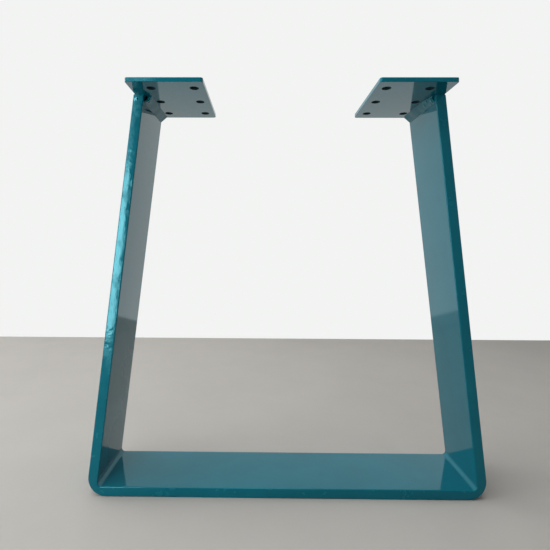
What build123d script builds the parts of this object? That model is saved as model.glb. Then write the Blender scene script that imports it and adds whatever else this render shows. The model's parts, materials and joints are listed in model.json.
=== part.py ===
from build123d import *
import math
import os

# Trapezoid table leg: flat steel bar bent into an open frame, with two screw plates welded on top.
# Frame: X across the leg, Y from front to back, Z up. Origin on the floor, under the middle of the plates.

# Overall sizes in millimetres
overall_height = 400.0
foot_width = 400.0  # between the outer faces, carried down to the floor
top_width = 300.0  # between the outer faces, at the underside of the plates

# Flat bar
bar_width = 70.0
bar_thickness = 10.0
bar_edge_crown = 0.2  # swell of the rolled narrow faces, within the bar's width
bar_edge_radius = 1.0
bend_inner_radius = 4.0
bend_outer_radius = 18.0  # more than the inner one plus the bar, which thins as it is bent

# Mounting plates
plate_length = 70.0  # across the leg
plate_depth = 100.0  # front to back
plate_thickness = 4.0
plate_corner_radius = 2.5
plate_edge_radius = 0.5
plate_setback = 1.5  # from the bar's outer face in to the plate's outer edge

# Screw holes: two columns of three in each plate
hole_diameter = 8.5
hole_columns = 2
hole_rows = 3
hole_pitch_across = 40.0
hole_pitch_along = 35.0
hole_inner_margin = 10.0  # from the plate's inner edge to the nearer column

# Welds
inner_weld_leg = 6.5
inner_weld_throat = 4.0
inner_weld_taper = 5.0  # length of the fading front end
inner_weld_end_share = 0.6  # size of the bead where it stops, against its full size
outer_weld_rise = 2.2  # up the plate's edge
outer_weld_margin = 0.3  # of bar end left bare beside the bead
outer_weld_bulge = 0.3
inner_weld_front_gap = 3.0  # of bar left bare in front of the bead
outer_weld_front_gap = 1.0  # of bar left bare in front of the seam
weld_rear_gap = 1.0  # of bar left bare behind each weld

# Derived places
bar_height = overall_height - plate_thickness
bar_rear = plate_depth / 2
bar_front = bar_rear - bar_width
bar_middle = (bar_front + bar_rear) / 2
slope = (foot_width - top_width) / 2 / bar_height
lean = math.atan(slope)
level_thickness = bar_thickness / math.cos(lean)
bar_outer_top = top_width / 2
bar_inner_top = bar_outer_top - level_thickness
plate_outer = bar_outer_top - plate_setback
plate_middle = plate_outer - plate_length / 2
plate_inner = plate_outer - plate_length
hole_middle = plate_inner + hole_inner_margin + hole_pitch_across / 2
inner_weld_front = bar_front + inner_weld_front_gap
outer_weld_front = bar_front + outer_weld_front_gap
weld_rear = bar_rear - weld_rear_gap


def bend_points(inset, top):
    """Corners of the leg's front outline at a depth inside its outer faces, from left top to right top."""
    foot_x = foot_width / 2 - slope * inset - inset / math.cos(lean)
    top_x = foot_width / 2 - slope * top - inset / math.cos(lean)
    return [(-top_x, top), (-foot_x, inset), (foot_x, inset), (top_x, top)]


# Bent bar: its front outline, extruded too deep and then cut to the swell of the rolled narrow faces
outer_points = bend_points(0, bar_height)
inner_points = bend_points(bar_thickness, bar_height)
middle_points = bend_points(bar_thickness / 2, bar_height + bar_thickness)
swell_radius = (bar_thickness ** 2 / 4 + bar_edge_crown ** 2) / (2 * bar_edge_crown)
swell_half = bar_thickness * 0.6  # a little past the broad faces
swell_flat = bar_width / 2 - swell_radius + math.sqrt(swell_radius ** 2 - swell_half ** 2)
with BuildPart() as bent_bar_frame:
    with BuildSketch(Plane.XZ.offset(-bar_middle)):
        with BuildLine():
            FilletPolyline(*outer_points, radius=bend_outer_radius)
            FilletPolyline(*inner_points, radius=bend_inner_radius)
            Line(outer_points[0], inner_points[0])
            Line(outer_points[-1], inner_points[-1])
        make_face()
    extrude(amount=bar_width, both=True)
    with BuildLine(Plane.XZ.offset(-bar_middle)) as bend_line:
        FilletPolyline(*middle_points, radius=bend_inner_radius + bar_thickness / 2)
    section_plane = Plane(origin=bend_line.line @ 0, x_dir=(0, 1, 0), z_dir=bend_line.line % 0)
    with BuildSketch(section_plane):
        with BuildLine():
            Line((-swell_flat, swell_half), (swell_flat, swell_half))
            ThreePointArc((swell_flat, swell_half), (bar_width / 2, 0), (swell_flat, -swell_half))
            Line((swell_flat, -swell_half), (-swell_flat, -swell_half))
            ThreePointArc((-swell_flat, -swell_half), (-bar_width / 2, 0), (-swell_flat, swell_half))
        make_face()
    sweep(mode=Mode.INTERSECT)
    broad_faces = bent_bar_frame.faces().filter_by(lambda face: abs(face.normal_at().Y) < 0.5)
    edges_below_top = broad_faces.edges().filter_by(lambda edge: edge.center().Z < bar_height - bar_thickness)
    long_edges = edges_below_top.filter_by(lambda edge: abs(edge.center().Y - bar_middle) > bar_width / 4)
    fillet(long_edges, bar_edge_radius)


def mounting_plate(side):
    """Flat plate with rounded corners and its screw holes, on top of one upright."""
    with BuildPart() as plate:
        with BuildSketch(Plane.XY.offset(bar_height)):
            with Locations((side * plate_middle, 0)):
                RectangleRounded(plate_length, plate_depth, plate_corner_radius)
            with Locations((side * hole_middle, 0)):
                with GridLocations(hole_pitch_across, hole_pitch_along, hole_columns, hole_rows):
                    Circle(hole_diameter / 2, mode=Mode.SUBTRACT)
        extrude(amount=plate_thickness)
        level_faces = plate.faces().filter_by(Axis.Z)
        fillet([edge for face in level_faces for edge in face.outer_wire().edges()], plate_edge_radius)
    return plate


def inner_weld(side):
    """Slightly hollow fillet bead under one plate, flush at the back and fading at the front."""
    corner_angle = math.pi / 2 + lean
    middle_angle = corner_angle / 2
    stations = [
        (weld_rear, 1.0),
        (inner_weld_front + inner_weld_taper, 1.0),
        (inner_weld_front, inner_weld_end_share),
    ]
    with BuildPart() as weld:
        for depth, share in stations:
            leg = inner_weld_leg * share
            throat = inner_weld_throat * share
            root = (side * bar_inner_top, bar_height)
            plate_toe = (side * (bar_inner_top - leg), bar_height)
            bar_toe = (side * (bar_inner_top + leg * math.sin(lean)), bar_height - leg * math.cos(lean))
            face_middle = (
                side * (bar_inner_top - throat * math.cos(middle_angle)),
                bar_height - throat * math.sin(middle_angle),
            )
            with BuildSketch(Plane.XZ.offset(-depth)):
                with BuildLine():
                    Polyline(plate_toe, root, bar_toe)
                    ThreePointArc(bar_toe, face_middle, plate_toe)
                make_face()
        loft(ruled=True)
    return weld


def outer_weld(side):
    """Small rounded seam on the ledge of bar that stands outside one plate's outer edge."""
    ledge = plate_setback - outer_weld_margin
    slant = math.hypot(ledge, outer_weld_rise)
    root = (side * plate_outer, bar_height)
    bar_toe = (side * (plate_outer + ledge), bar_height)
    plate_toe = (side * plate_outer, bar_height + outer_weld_rise)
    face_middle = (
        side * (plate_outer + ledge / 2 + outer_weld_bulge * outer_weld_rise / slant),
        bar_height + outer_weld_rise / 2 + outer_weld_bulge * ledge / slant,
    )
    with BuildPart() as weld:
        with BuildSketch(Plane.XZ.offset(-outer_weld_front)):
            with BuildLine():
                Polyline(bar_toe, root, plate_toe)
                ThreePointArc(plate_toe, face_middle, bar_toe)
            make_face()
        extrude(amount=outer_weld_front - weld_rear)
    return weld


os.makedirs("parts", exist_ok=True)

bent_bar_frame.part.label = "bent_bar_frame"
export_step(bent_bar_frame.part, "parts/bent_bar_frame.step")

for side, word in ((-1, "left"), (1, "right")):
    plate = mounting_plate(side)
    plate.part.label = f"{word}_mounting_plate"
    export_step(plate.part, f"parts/{word}_mounting_plate.step")

    bead = inner_weld(side)
    bead.part.label = f"{word}_inner_weld"
    export_step(bead.part, f"parts/{word}_inner_weld.step")

    seam = outer_weld(side)
    seam.part.label = f"{word}_outer_weld"
    export_step(seam.part, f"parts/{word}_outer_weld.step")
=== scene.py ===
import json
import math
import random

import bpy
from mathutils import Matrix, Vector, noise


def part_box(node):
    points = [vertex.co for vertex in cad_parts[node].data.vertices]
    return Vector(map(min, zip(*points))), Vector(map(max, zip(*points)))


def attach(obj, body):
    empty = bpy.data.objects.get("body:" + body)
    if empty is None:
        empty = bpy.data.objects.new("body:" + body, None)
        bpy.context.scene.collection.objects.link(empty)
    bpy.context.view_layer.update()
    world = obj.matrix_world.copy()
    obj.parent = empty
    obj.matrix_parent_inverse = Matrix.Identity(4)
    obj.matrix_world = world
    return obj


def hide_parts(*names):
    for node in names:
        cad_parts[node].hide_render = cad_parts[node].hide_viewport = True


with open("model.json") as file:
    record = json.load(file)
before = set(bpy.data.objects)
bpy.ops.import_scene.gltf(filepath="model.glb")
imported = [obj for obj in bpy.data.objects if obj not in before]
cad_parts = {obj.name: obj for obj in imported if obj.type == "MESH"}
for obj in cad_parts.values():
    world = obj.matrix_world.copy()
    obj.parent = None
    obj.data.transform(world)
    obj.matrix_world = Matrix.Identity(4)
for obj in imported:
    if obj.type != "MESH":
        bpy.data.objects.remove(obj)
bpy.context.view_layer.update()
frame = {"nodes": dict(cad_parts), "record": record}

# Lengths are in metres. X runs across the leg, Y from front to back and Z up from the floor.
MM = 0.001
MICRON = 0.000001

# Paint colours, linear, each with the deeper one that it drifts to
TEALS = ((0.003, 0.13, 0.18), (0.0025, 0.116, 0.162))
WELD_TEALS = ((0.003, 0.122, 0.168), (0.002, 0.09, 0.125))
GLOSS_TINT = (0.3, 0.88, 1.0)
# Painted shade: near-black colour for the walls of the plates' screw holes, where shade falls
HOLE_SHADE_COLOUR = (0.003, 0.006, 0.007)

# Paint gloss: ranges of roughness, and what dull patches on the narrow faces add to them
PAINT_IOR = 1.5
GLOSSY = (0.05, 0.1)
SATIN = (0.36, 0.46)
BAR_DULLNESS = 0.25
PLATE_DULLNESS = 0.1
WELD_DULLNESS = 0.05

# Paint relief: heights of slow waves, of orange peel and of lumps on the narrow faces
WAVE_HEIGHT = 50.0 * MICRON
ENAMEL_PEEL = 1.5 * MICRON
WELD_PEEL = 3.0 * MICRON
BAR_LUMPS = 400.0 * MICRON
PLATE_LUMPS = 120.0 * MICRON
WELD_LUMPS = 30.0 * MICRON

# Noise of each layer: waves per metre, detail and roughness
DRIFT_NOISE = (22.0, 4.0, 0.6)
GLOSS_NOISE = (60.0, 3.0, 0.6)
PATCH_NOISE = (75.0, 3.0, 0.6)
WAVE_NOISE = (14.0, 1.0, 0.5)
PEEL_NOISE = (420.0, 1.0, 0.5)
LUMP_NOISE = (95.0, 4.0, 0.6)
MOTTLE_NOISE = (9.0, 5.0, 0.6)
NOISE_MIDDLE = 0.5

# Ranges over which a layer comes in
DRIFT_RANGE = (0.3, 0.7)
GLOSS_RANGE = (0.3, 0.75)
PATCH_RANGE = (0.46, 0.7)
MOTTLE_RANGE = (0.3, 0.7)
NARROW_RANGE = (0.6, 0.9)  # of the normal's part along Y
LEVEL_RANGE = (0.3, 0.6)  # of the normal's part along Z
NONE_TO_FULL = (0.0, 1.0)
FULL_TO_NONE = (1.0, 0.0)

# Strip inside a plate's outline that holds its own edges and no hole
PLATE_STRIP = 3.0 * MM

# Angle between faces from which their edge shows as sharp
SHARP_ANGLE = math.radians(45.0)

# Weld beads
BEAD_STEP = 0.35 * MM
BEAD_SINK = 0.3 * MM
INNER_POINTS_ACROSS = 22
OUTER_POINTS_ACROSS = 10
LEFT_SEED = 3
RIGHT_SEED = 8
OUTER_SEED_STEP = 20

# Lumps on the beads: their number and the stretch behind the front end that has them
LEFT_LUMPS = (4, 1.0 * MM, 9.0 * MM)
RIGHT_LUMPS = (7, 2.0 * MM, 27.0 * MM)
OUTER_LUMP_COUNT = 14
LUMP_ACROSS = (0.2, 0.9)  # place, as a share of the way from plate to bar
LUMP_RADIUS = (0.2, 0.34)  # against the bead's size
LUMP_HEIGHT = (0.2, 0.4)  # against the lump's radius
LUMP_FALL = 0.5

# Ends of the beads: lengths and depths against the bead's size, stops against its full section
END_TAPER = 0.3
FRONT_STOP = 0.85
REAR_STOP = 0.6
DISH_REACH = 0.9
DISH_DEPTH = 0.3
HOLLOW_REACH = 2.2
RIGHT_PLATE_FADE = (38.0 * MM, 0.3)  # stretch with a narrow plate toe, and its share at the front

# Faces of the beads: heights and widths against the bead's size, waves per metre
FACE_WIDTH = 1.4
CROWN_HEIGHT = 0.02
CROWN_STEEPNESS = 2.5
ROUGH_HEIGHT = 0.012
ROUGH_WAVES = 120.0
ROUGH_ROWS = 2.0
RIPPLE_PITCH = 2.4 * MM
RIPPLE_BOW = 0.9 * MM
RIPPLE_HEIGHT = 0.003
RIPPLE_JITTER = 0.6
RIPPLE_JITTER_WAVES = 90.0
TOE_WANDER = 0.07
TOE_WAVES = 95.0

# Rows of the noise field that keep its uses apart
PLATE_TOE_ROW = 0.0
BAR_TOE_ROW = 5.0
RIPPLE_ROW = 9.0
DROP_ROW = 4.0

# Weld drop on the left upright
DROP_RADIUS = 2.5 * MM
DROP_RISE = 0.8 * MM
DROP_SINK = 0.3 * MM
DROP_INSET = 2.0 * MM
DROP_BELOW_TOP = 4.6 * MM
DROP_CREST = 0.75  # place of the highest line, as a share of the way up
DROP_UPPER_POWER = 0.6  # roundness of the steep slope above the crest
DROP_SIDE_POWER = 6  # flatness from side to side
DROP_SKEW = 0.2
DROP_WANDER = 0.15
DROP_TIP = 1e-6  # half width, against the radius, that counts as a tip
DROP_RINGS = 10
DROP_STEPS = 32

# Stage
FLOOR_COLOUR = (0.47, 0.453, 0.425)
FLOOR_MOTTLE = 0.96  # darker shade, as a share of the colour
FLOOR_BOUNCE = (0.22, 0.205, 0.185)
FLOOR_ROUGHNESS = 0.8
FLOOR_FRONT_Y = -3.0
WALL_COLOUR = (0.89, 0.9, 0.89)
WALL_ROUGHNESS = 0.9
WALL_Y = 0.657
WALL_HEIGHT = 2.4
STAGE_HALF_WIDTH = 3.0

# Surroundings: range of the direction's Y, and levels in front of the leg and behind it
WORLD_RANGE = (-0.6, 0.8)
WORLD_LIGHT = (0.07, 0.85)
WORLD_SHOWN = (0.35, 1.0)
WHITE = (1.0, 1.0, 1.0)

# Lamps: name, place, target, width, height and radiance
WINDOW_BOX = (
    "window_box", (-0.4427, -0.6626, 0.236), (-0.1527, -0.0256, 0.236), 0.162, 0.46, 16.0,
)
WINDOW_FAN = math.radians(90.0)  # angle over which the grid on that box lets light out
SOFT_BOXES = (
    ("upper_window_box", (-0.455, -0.657, 0.586), (-0.165, -0.02, 0.586), 0.135, 0.24, 2.6),
    ("high_window_box", (-0.345, -0.657, 0.7), (-0.13, -0.05, 0.4), 0.1, 0.12, 2.6),
    ("left_box", (-1.35, -0.1, 0.95), (0.0, 0.0, 0.2), 1.7, 1.7, 2.1),
    ("top_box", (-0.1, -0.1, 1.6), (0.0, 0.0, 0.0), 1.2, 0.8, 2.5),
    ("front_top_box", (-0.3, -0.9, 1.5), (0.0, 0.0, 0.1), 1.0, 0.6, 2.0),
)

# Camera, placed from the edges of the leg in the photograph, with its lens and sensor in mm
CAMERA_PLACE = (-0.024129, -0.40576, 0.251378)
CAMERA_YAW = math.radians(-0.586)
CAMERA_PITCH = math.radians(-1.902)
CAMERA_ROLL = math.radians(0.269)
CAMERA_LENS = 25.961
CAMERA_SENSOR = 36.0
CAMERA_SHIFT = (0.02903, -0.03028)
CAMERA_NEAR = 0.01


# Node helpers


def add_node(tree, kind, **values):
    """New shader node with its plain attributes set."""
    made = tree.nodes.new(kind)
    for key, value in values.items():
        setattr(made, key, value)
    return made


def feed(tree, socket, value):
    """Links an input to another socket, or sets it to a plain value."""
    if isinstance(value, bpy.types.NodeSocket):
        tree.links.new(value, socket)
    else:
        socket.default_value = value


def opaque(colour):
    """Colour with full alpha."""
    return (*colour, 1.0)


def separate(tree, source):
    """Parts of a vector along X, Y and Z."""
    made = add_node(tree, "ShaderNodeSeparateXYZ")
    tree.links.new(source, made.inputs[0])
    return made.outputs


def math_node(tree, operation, first, second=0.0):
    """Math node whose two inputs are sockets or numbers."""
    made = add_node(tree, "ShaderNodeMath", operation=operation)
    for socket, value in zip(made.inputs, (first, second)):
        feed(tree, socket, value)
    return made.outputs[0]


def noise_node(tree, place, settings):
    """Noise over the object's own coordinates, from its scale, detail and roughness."""
    made = add_node(tree, "ShaderNodeTexNoise")
    for key, value in zip(("Scale", "Detail", "Roughness"), settings):
        made.inputs[key].default_value = value
    tree.links.new(place, made.inputs["Vector"])
    return made.outputs["Fac"]


def spread(tree, source, source_range, target_range):
    """Smooth map from one range of values to another."""
    made = add_node(tree, "ShaderNodeMapRange", interpolation_type="SMOOTHSTEP")
    keys = ("From Min", "From Max", "To Min", "To Max")
    for key, value in zip(keys, (*source_range, *target_range)):
        made.inputs[key].default_value = value
    tree.links.new(source, made.inputs["Value"])
    return made.outputs[0]


def mix_colours(tree, factor, first, second):
    """Mix of two colours that are sockets or plain values."""
    made = add_node(tree, "ShaderNodeMix", data_type="RGBA")
    for key, value in (("Factor", factor), ("A", first), ("B", second)):
        feed(tree, made.inputs[key], value)
    return made.outputs["Result"]


def bump_node(tree, height, distance, below=None):
    """Bump layer on top of another one, with its height in metres."""
    made = add_node(tree, "ShaderNodeBump")
    made.inputs["Strength"].default_value = 1.0
    made.inputs["Distance"].default_value = distance
    tree.links.new(height, made.inputs["Height"])
    if below is not None:
        tree.links.new(below, made.inputs["Normal"])
    return made.outputs["Normal"]


def seen_directly(tree):
    """One for rays that show the background: camera, glossy and transmission rays."""
    path = add_node(tree, "ShaderNodeLightPath").outputs
    shown = math_node(tree, "ADD", path["Is Camera Ray"], path["Is Glossy Ray"])
    shown = math_node(tree, "ADD", shown, path["Is Transmission Ray"])
    return math_node(tree, "MINIMUM", shown, 1.0)


def show_as_background(tree, lighting, shown, output):
    """Output that lights the scene as one shader and shows as another one."""
    blend = add_node(tree, "ShaderNodeMixShader")
    sources = (seen_directly(tree), lighting.outputs[0], shown.outputs[0])
    for source, socket in zip(sources, blend.inputs):
        tree.links.new(source, socket)
    tree.links.new(blend.outputs[0], output.inputs["Surface"])


# Materials


def new_material(name):
    """New node material, with its tree and its shader."""
    material = bpy.data.materials.new(name)
    material.use_nodes = True
    tree = material.node_tree
    return material, tree, tree.nodes["Principled BSDF"]


def hole_walls(tree, place, normal_z, plate_box):
    """One on the walls of the screw holes, which get painted shade: upright faces well inside the
    plates' outlines.
    """
    low, high = plate_box
    plate_middle = abs(low.x + high.x) / 2.0
    reach_across = (high.x - low.x) / 2.0 - PLATE_STRIP
    reach_along = high.y - PLATE_STRIP
    parts = separate(tree, place)
    from_middle = math_node(tree, "ABSOLUTE", parts["X"])
    from_middle = math_node(tree, "SUBTRACT", from_middle, plate_middle)
    from_middle = math_node(tree, "ABSOLUTE", from_middle)
    along = math_node(tree, "ABSOLUTE", parts["Y"])
    inside_across = math_node(tree, "LESS_THAN", from_middle, reach_across)
    inside_along = math_node(tree, "LESS_THAN", along, reach_along)
    inside = math_node(tree, "MULTIPLY", inside_across, inside_along)
    level = math_node(tree, "ABSOLUTE", normal_z)
    upright = spread(tree, level, LEVEL_RANGE, FULL_TO_NONE)
    return math_node(tree, "MULTIPLY", inside, upright)


def paint_material(name, colours, roughness, peel, lumps=0.0, dullness=0.0, plate_box=None):
    """Enamel with colour drift, uneven gloss, slow waves and orange peel.

    Lumps and dull patches come on faces that look along Y. Walls of a plate's holes get painted
    shade: a near-black colour, and full roughness.
    """
    material, tree, shader = new_material(name)
    place = add_node(tree, "ShaderNodeTexCoord").outputs["Object"]
    normal = separate(tree, add_node(tree, "ShaderNodeNewGeometry").outputs["Normal"])
    narrow = spread(tree, math_node(tree, "ABSOLUTE", normal["Y"]), NARROW_RANGE, NONE_TO_FULL)

    drift = spread(tree, noise_node(tree, place, DRIFT_NOISE), DRIFT_RANGE, NONE_TO_FULL)
    base = mix_colours(tree, drift, opaque(colours[0]), opaque(colours[1]))
    gloss = spread(tree, noise_node(tree, place, GLOSS_NOISE), GLOSS_RANGE, roughness)
    patches = spread(tree, noise_node(tree, place, PATCH_NOISE), PATCH_RANGE, (0.0, dullness))
    gloss = math_node(tree, "ADD", gloss, math_node(tree, "MULTIPLY", patches, narrow))
    if plate_box is not None:
        # Painted shade in the screw holes: near-black colour and full roughness on their walls
        walls = hole_walls(tree, place, normal["Z"], plate_box)
        base = mix_colours(tree, walls, base, opaque(HOLE_SHADE_COLOUR))
        gloss = math_node(tree, "MAXIMUM", gloss, walls)
    tree.links.new(base, shader.inputs["Base Color"])
    tree.links.new(gloss, shader.inputs["Roughness"])
    shader.inputs["IOR"].default_value = PAINT_IOR
    shader.inputs["Specular Tint"].default_value = opaque(GLOSS_TINT)

    relief = bump_node(tree, noise_node(tree, place, WAVE_NOISE), WAVE_HEIGHT)
    relief = bump_node(tree, noise_node(tree, place, PEEL_NOISE), peel, relief)
    uneven = math_node(tree, "SUBTRACT", noise_node(tree, place, LUMP_NOISE), NOISE_MIDDLE)
    uneven = math_node(tree, "MULTIPLY", uneven, narrow)
    relief = bump_node(tree, uneven, lumps, relief)
    tree.links.new(relief, shader.inputs["Normal"])
    return material


def floor_material():
    """Matt pale surface with a faint mottle, which throws little light back up on the leg."""
    material, tree, shader = new_material("pale_floor")
    place = add_node(tree, "ShaderNodeTexCoord").outputs["Object"]
    mottle = spread(tree, noise_node(tree, place, MOTTLE_NOISE), MOTTLE_RANGE, NONE_TO_FULL)
    darker = [FLOOR_MOTTLE * value for value in FLOOR_COLOUR]
    tint = mix_colours(tree, mottle, opaque(FLOOR_COLOUR), opaque(darker))
    shown = mix_colours(tree, seen_directly(tree), opaque(FLOOR_BOUNCE), tint)
    tree.links.new(shown, shader.inputs["Base Color"])
    shader.inputs["Roughness"].default_value = FLOOR_ROUGHNESS
    return material


def wall_material():
    """White backdrop that shows as an even white and bounces light as a matt wall."""
    material, tree, matt = new_material("white_wall")
    matt.inputs["Base Color"].default_value = opaque(WALL_COLOUR)
    matt.inputs["Roughness"].default_value = WALL_ROUGHNESS
    glow = add_node(tree, "ShaderNodeEmission")
    glow.inputs["Color"].default_value = opaque(WALL_COLOUR)
    show_as_background(tree, matt, glow, tree.nodes["Material Output"])
    return material


# Mesh helpers


def mesh_piece(name, points, faces, material):
    """Smooth-shaded mesh object from points and faces."""
    mesh = bpy.data.meshes.new(name)
    mesh.from_pydata(points, [], faces)
    mesh.validate()
    mesh.shade_smooth()
    mesh.set_sharp_from_angle(angle=SHARP_ANGLE)
    piece = bpy.data.objects.new(name, mesh)
    piece.data.materials.append(material)
    bpy.context.scene.collection.objects.link(piece)
    return piece


def ring_mesh(name, rings, mirrored):
    """Closed painted bead through rings of equal size.

    Each end is a fan from the last point of its ring.
    """
    count = len(rings[0])
    points = [point for ring in rings for point in ring]
    faces = []
    for ring in range(len(rings) - 1):
        here, there = ring * count, (ring + 1) * count
        for index in range(count):
            after = (index + 1) % count
            faces.append((here + index, here + after, there + after, there + index))
    first, last = count - 1, len(points) - 1
    for index in range(count - 2):
        faces.append((first, index + 1, index))
        faces.append((last, last - first + index, last - first + index + 1))
    if mirrored:
        faces = [face[::-1] for face in faces]
    return mesh_piece(name, points, faces, weld_paint)


# Weld beads


def end_share(gap, taper, least):
    """Size of a bead near its end, growing from a small stop to full over a taper."""
    return least + (1.0 - least) * math.sin(math.pi / 2.0 * min(1.0, gap / taper))


def front_fade(gap, reach):
    """One at a bead's front end, fading to nothing over a reach."""
    return max(0.0, 1.0 - gap / reach) ** 2


def toe_share(y, seed, row):
    """Uneven reach of a bead's toe, near one."""
    return 1.0 + TOE_WANDER * noise.noise((y * TOE_WAVES, seed, row))


def bead_lumps(seed, count, front, rear, size):
    """Seeded lumps as (place along, share across, radius, height)."""
    dice = random.Random(seed)
    lumps = []
    for _ in range(count):
        along = dice.uniform(front, rear)
        across = dice.uniform(*LUMP_ACROSS)
        radius = size * dice.uniform(*LUMP_RADIUS)
        lumps.append((along, across, radius, radius * dice.uniform(*LUMP_HEIGHT)))
    return lumps


def face_swell(y, across, crown, size, seed, lumps):
    """Height of a bead's face over the straight line between its toes."""
    jitter = RIPPLE_JITTER * noise.noise((y * RIPPLE_JITTER_WAVES, seed, RIPPLE_ROW))
    phase = (y + RIPPLE_BOW * crown) / RIPPLE_PITCH + jitter
    ripple = RIPPLE_HEIGHT * size * (0.5 - 0.5 * math.cos(2.0 * math.pi * phase))
    rough = ROUGH_HEIGHT * size * noise.noise((y * ROUGH_WAVES, across * ROUGH_ROWS, seed))
    swell = CROWN_HEIGHT * size + ripple + rough
    for lump_y, lump_across, radius, height in lumps:
        gap = (y - lump_y) ** 2 + ((across - lump_across) * FACE_WIDTH * size) ** 2
        swell += height * math.exp(-gap / (LUMP_FALL * radius ** 2))
    return swell


def weld_bead(
    node, corner, along_plate, along_bar, legs, seed, lumpy, points_across, plate_fade=None
):
    """Uneven bead along Y that fills the corner between a plate and the bar."""
    low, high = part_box(node)
    front, rear = low.y, high.y
    size = min(legs)
    outward = (along_plate + along_bar).normalized()
    back = Vector((0.0, 1.0, 0.0))
    lump_count, lumps_from, lumps_to = lumpy
    lumps = bead_lumps(seed, lump_count, front + lumps_from, front + lumps_to, size)
    ring_count = round((rear - front) / BEAD_STEP) + 1
    rings = []
    for ring in range(ring_count):
        y = front + (rear - front) * ring / (ring_count - 1)
        gap = y - front
        front_share = end_share(gap, END_TAPER * size, FRONT_STOP)
        share = min(front_share, end_share(rear - y, END_TAPER * size, REAR_STOP))
        plate_leg = legs[0] * share * toe_share(y, seed, PLATE_TOE_ROW)
        if plate_fade is not None:
            plate_leg *= end_share(gap, *plate_fade)
        bar_leg = legs[1] * share * toe_share(y, seed, BAR_TOE_ROW)
        plate_toe = corner + along_plate * plate_leg
        bar_toe = corner + along_bar * bar_leg
        dish = DISH_DEPTH * size * front_fade(gap, DISH_REACH * size)
        hollow = size * front_fade(gap, HOLLOW_REACH * size)
        points = [plate_toe - along_bar * BEAD_SINK]
        for index in range(points_across + 1):
            across = index / points_across
            crown = 4.0 * across * (1.0 - across)
            swell = face_swell(y, across, crown, size, seed, lumps)
            swell *= share * min(1.0, CROWN_STEEPNESS * crown)
            face_point = plate_toe.lerp(bar_toe, across) + outward * swell
            points.append(face_point + back * (dish * crown))
        points.append(bar_toe - along_plate * BEAD_SINK)
        points.append(corner - outward * BEAD_SINK + back * hollow)
        rings.append([point + back * y for point in points])
    return ring_mesh(f"{node}_bead", rings, along_plate.cross(along_bar).y < 0.0)


def inner_bead(node, side, seed, lumpy, plate_fade):
    """Fillet bead under a plate, against the bar's inner face."""
    low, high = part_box(node)
    across, drop = high.x - low.x, high.z - low.z
    lean = 2.0 * math.atan2(across, drop) - math.pi / 2.0
    leg = drop / math.cos(lean)
    corner = Vector((side * (min(abs(low.x), abs(high.x)) + leg), 0.0, high.z))
    along_plate = Vector((-side, 0.0, 0.0))
    along_bar = Vector((side * math.sin(lean), 0.0, -math.cos(lean)))
    legs = (leg, leg)
    return weld_bead(
        node, corner, along_plate, along_bar, legs, seed, lumpy, INNER_POINTS_ACROSS, plate_fade
    )


def outer_bead(node, side, seed):
    """Thin seam on the bar's end, against a plate's outer edge."""
    low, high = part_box(node)
    corner = Vector((side * min(abs(low.x), abs(high.x)), 0.0, low.z))
    along_plate = Vector((0.0, 0.0, 1.0))
    along_bar = Vector((side, 0.0, 0.0))
    legs = (high.z - low.z, high.x - low.x)
    lumpy = (OUTER_LUMP_COUNT, 0.0, high.y - low.y)
    return weld_bead(
        node, corner, along_plate, along_bar, legs, seed, lumpy, OUTER_POINTS_ACROSS
    )


def make_welds():
    """Four painted beads in place of the plain ones."""
    for word, side, seed, lumpy, plate_fade in (
        ("left", -1, LEFT_SEED, LEFT_LUMPS, None),
        ("right", 1, RIGHT_SEED, RIGHT_LUMPS, RIGHT_PLATE_FADE),
    ):
        inner, outer = f"{word}_inner_weld", f"{word}_outer_weld"
        for bead, node in (
            (inner_bead(inner, side, seed, lumpy, plate_fade), inner),
            (outer_bead(outer, side, seed + OUTER_SEED_STEP), outer),
        ):
            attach(bead, "root")
            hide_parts(node)


# Weld drop


def drop_height(across, up):
    """Height of the drop's face in its disc, with a long lower slope and a steep upper one."""
    half = math.sqrt(max(0.0, 1.0 - up * up))
    if half < DROP_TIP:
        return 0.0
    climb = (up + 1.0) / 2.0
    fall = ((1.0 - climb) / (1.0 - DROP_CREST)) ** DROP_UPPER_POWER
    slope = min(climb / DROP_CREST, fall)
    sides = 1.0 - min(1.0, abs(across) / half) ** DROP_SIDE_POWER
    return slope * sides * (1.0 + DROP_SKEW * across)


def make_weld_drop():
    """Drop of weld metal on the front of the left upright, with its rim sunk in the bar."""
    seam_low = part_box("left_outer_weld")[0]
    bar_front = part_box("bent_bar_frame")[0].y
    base = Vector((seam_low.x + DROP_INSET, bar_front + DROP_SINK, seam_low.z - DROP_BELOW_TOP))
    height = DROP_RISE + DROP_SINK
    front_middle = base - Vector((0.0, height * drop_height(0.0, 0.0), 0.0))
    back_middle = base + Vector((0.0, DROP_SINK, 0.0))
    points = [front_middle, back_middle]
    first_ring = len(points)
    for ring in range(1, DROP_RINGS + 1):
        share = ring / DROP_RINGS
        for step in range(DROP_STEPS):
            turn = 2.0 * math.pi * step / DROP_STEPS
            cosine, sine = math.cos(turn), math.sin(turn)
            across, up = share * cosine, share * sine
            reach = DROP_RADIUS * (1.0 + DROP_WANDER * noise.noise((cosine, sine, DROP_ROW)))
            rise = height * drop_height(across, up)
            points.append(base + Vector((reach * across, -rise, reach * up)))
    faces = []
    for step in range(DROP_STEPS):
        here, after = first_ring + step, first_ring + (step + 1) % DROP_STEPS
        faces.append((0, here, after))
        for _ in range(DROP_RINGS - 1):
            faces.append((after, here, here + DROP_STEPS, after + DROP_STEPS))
            here, after = here + DROP_STEPS, after + DROP_STEPS
        faces.append((1, after, here))
    drop = mesh_piece("left_weld_drop", points, faces, drop_paint)
    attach(drop, "root")


# Stage, lights and camera


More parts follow.
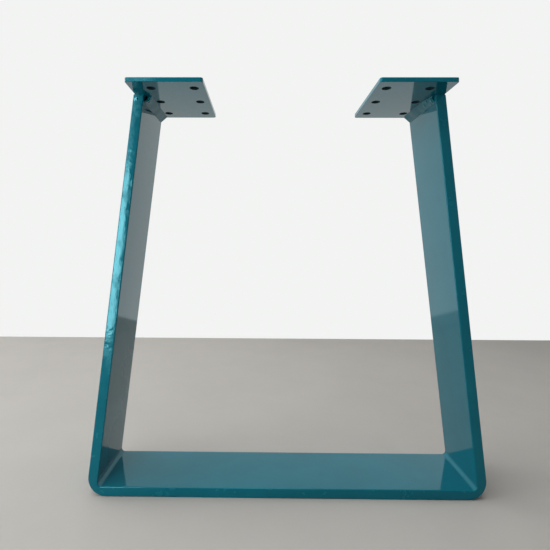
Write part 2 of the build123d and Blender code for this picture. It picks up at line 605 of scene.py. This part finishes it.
def make_stage():
    """Pale floor under the leg and a white wall behind it."""
    wide = STAGE_HALF_WIDTH
    floor_points = [
        (-wide, FLOOR_FRONT_Y, 0.0),
        (wide, FLOOR_FRONT_Y, 0.0),
        (wide, WALL_Y, 0.0),
        (-wide, WALL_Y, 0.0),
    ]
    wall_points = [
        (-wide, WALL_Y, 0.0),
        (wide, WALL_Y, 0.0),
        (wide, WALL_Y, WALL_HEIGHT),
        (-wide, WALL_Y, WALL_HEIGHT),
    ]
    floor = mesh_piece("stage_floor", floor_points, [(0, 1, 2, 3)], floor_material())
    mesh_piece("stage_wall", wall_points, [(0, 1, 2, 3)], wall_material())
    return floor


def soft_box(name, place, target, width, height, radiance, fan=None):
    """Rectangular lamp that faces a target and glows evenly, or fans out less behind a grid."""
    lamp = bpy.data.lights.new(name, "AREA")
    lamp.shape = "RECTANGLE"
    lamp.size = width
    lamp.size_y = height
    lamp.energy = radiance * math.pi * width * height
    if fan is not None:
        # The power falls with the fan, so that the lamp glows as stated straight ahead
        lamp.spread = fan
        lamp.energy *= 1.0 - (fan / 2.0) / math.tan(fan / 2.0)
    holder = bpy.data.objects.new(name, lamp)
    holder.location = place
    holder.rotation_euler = (Vector(target) - Vector(place)).to_track_quat("-Z", "Y").to_euler()
    bpy.context.scene.collection.objects.link(holder)
    return holder


def make_lights(floor):
    """Tall box at the front left that leaves the floor unlit, and five softer lamps.

    They are a dim box above it, a small one beside that, a large one on the left and two overhead.
    """
    window = soft_box(*WINDOW_BOX, WINDOW_FAN)
    unlit = bpy.data.collections.new("kept_out_of_window_light")
    unlit.objects.link(floor)
    unlit.collection_objects[0].light_linking.link_state = "EXCLUDE"
    window.light_linking.receiver_collection = unlit
    for settings in SOFT_BOXES:
        soft_box(*settings)


def make_world():
    """Pale surroundings and a soft light from them, both dimmest in front of the leg."""
    world = bpy.data.worlds.new("soft_surroundings")
    bpy.context.scene.world = world
    world.use_nodes = True
    tree = world.node_tree
    tree.nodes.clear()
    output = add_node(tree, "ShaderNodeOutputWorld")
    direction = separate(tree, add_node(tree, "ShaderNodeTexCoord").outputs["Generated"])
    light = add_node(tree, "ShaderNodeBackground")
    shown = add_node(tree, "ShaderNodeBackground")
    for background, colour, levels in (
        (light, WHITE, WORLD_LIGHT),
        (shown, WALL_COLOUR, WORLD_SHOWN),
    ):
        background.inputs["Color"].default_value = opaque(colour)
        level = spread(tree, direction["Y"], WORLD_RANGE, levels)
        tree.links.new(level, background.inputs["Strength"])
    show_as_background(tree, light, shown, output)


def make_camera():
    """Camera at the photograph's place, with its axes from yaw, pitch and roll."""
    ahead = Vector((
        math.sin(CAMERA_YAW) * math.cos(CAMERA_PITCH),
        math.cos(CAMERA_YAW) * math.cos(CAMERA_PITCH),
        math.sin(CAMERA_PITCH),
    ))
    level_right = Vector((math.cos(CAMERA_YAW), -math.sin(CAMERA_YAW), 0.0))
    level_up = level_right.cross(ahead)
    right = math.cos(CAMERA_ROLL) * level_right + math.sin(CAMERA_ROLL) * level_up
    up = math.cos(CAMERA_ROLL) * level_up - math.sin(CAMERA_ROLL) * level_right
    turn = Matrix((right, up, -ahead)).transposed().to_4x4()
    lens = bpy.data.cameras.new("photo_camera")
    lens.lens = CAMERA_LENS
    lens.sensor_width = CAMERA_SENSOR
    lens.shift_x, lens.shift_y = CAMERA_SHIFT
    lens.clip_start = CAMERA_NEAR
    holder = bpy.data.objects.new("photo_camera", lens)
    holder.matrix_world = Matrix.Translation(CAMERA_PLACE) @ turn
    bpy.context.scene.collection.objects.link(holder)
    bpy.context.scene.camera = holder


# Build

bar_paint = paint_material("bar_enamel", TEALS, GLOSSY, ENAMEL_PEEL, BAR_LUMPS, BAR_DULLNESS)
plate_paint = paint_material(
    "plate_enamel",
    TEALS,
    GLOSSY,
    ENAMEL_PEEL,
    PLATE_LUMPS,
    PLATE_DULLNESS,
    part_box("right_mounting_plate"),
)
weld_paint = paint_material("weld_enamel", WELD_TEALS, SATIN, WELD_PEEL, WELD_LUMPS, WELD_DULLNESS)
drop_paint = paint_material("drop_enamel", TEALS, GLOSSY, ENAMEL_PEEL)
node_paint = {"bar_paint": bar_paint, "plate_paint": plate_paint, "weld_paint": weld_paint}
for subpart in frame["record"]["subparts"]:
    cad_part = frame["nodes"][subpart["node"]]
    cad_part.data.materials[0] = node_paint[subpart["material_slot"]]

make_welds()
make_weld_drop()
make_lights(make_stage())
make_world()
make_camera()
bpy.context.scene.view_settings.view_transform = "Standard"
